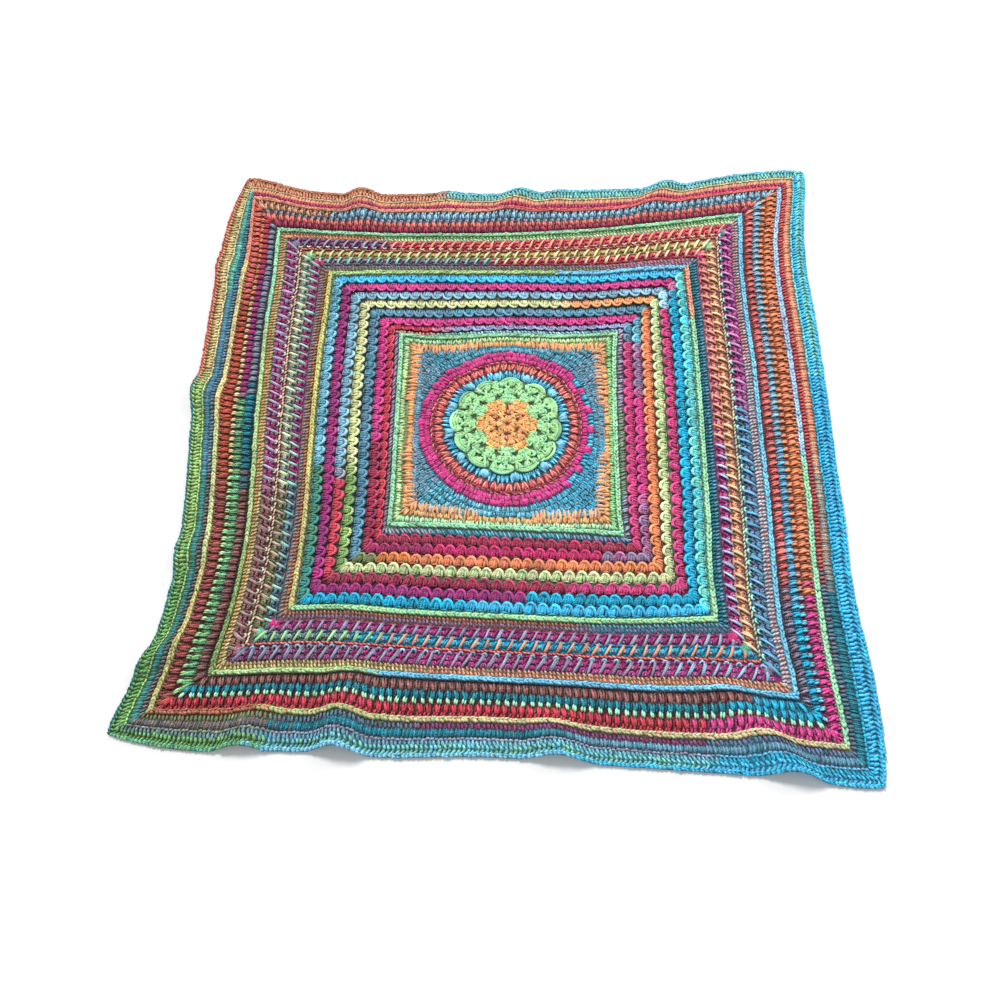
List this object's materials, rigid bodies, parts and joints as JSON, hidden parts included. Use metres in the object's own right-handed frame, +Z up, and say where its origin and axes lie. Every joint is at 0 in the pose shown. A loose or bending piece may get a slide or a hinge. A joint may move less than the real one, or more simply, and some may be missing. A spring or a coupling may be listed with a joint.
{
  "type": "crochet afghan",
  "caption": "Square crochet afghan in bright striped yarn, worked outwards from a flower in ridged, ribbed and clustered rounds, lying flat with a lightly rippled hem.",
  "frame": {"origin": "on the floor, under the centre of the flower in the middle of the afghan", "axes": "+Z up, out of the right side of the crochet; -Y towards the near hem and +X along it to the right"},
  "size_m": [1.235, 1.2292, 0.0312],
  "materials": {
    "yarn": "soft matte worsted yarn dyed in long runs of colour, from orange, coral and magenta to lime, teal and light blue"
  },
  "bodies": {
    "root": {"afghan": "yarn"}
  },
  "joints": []
}
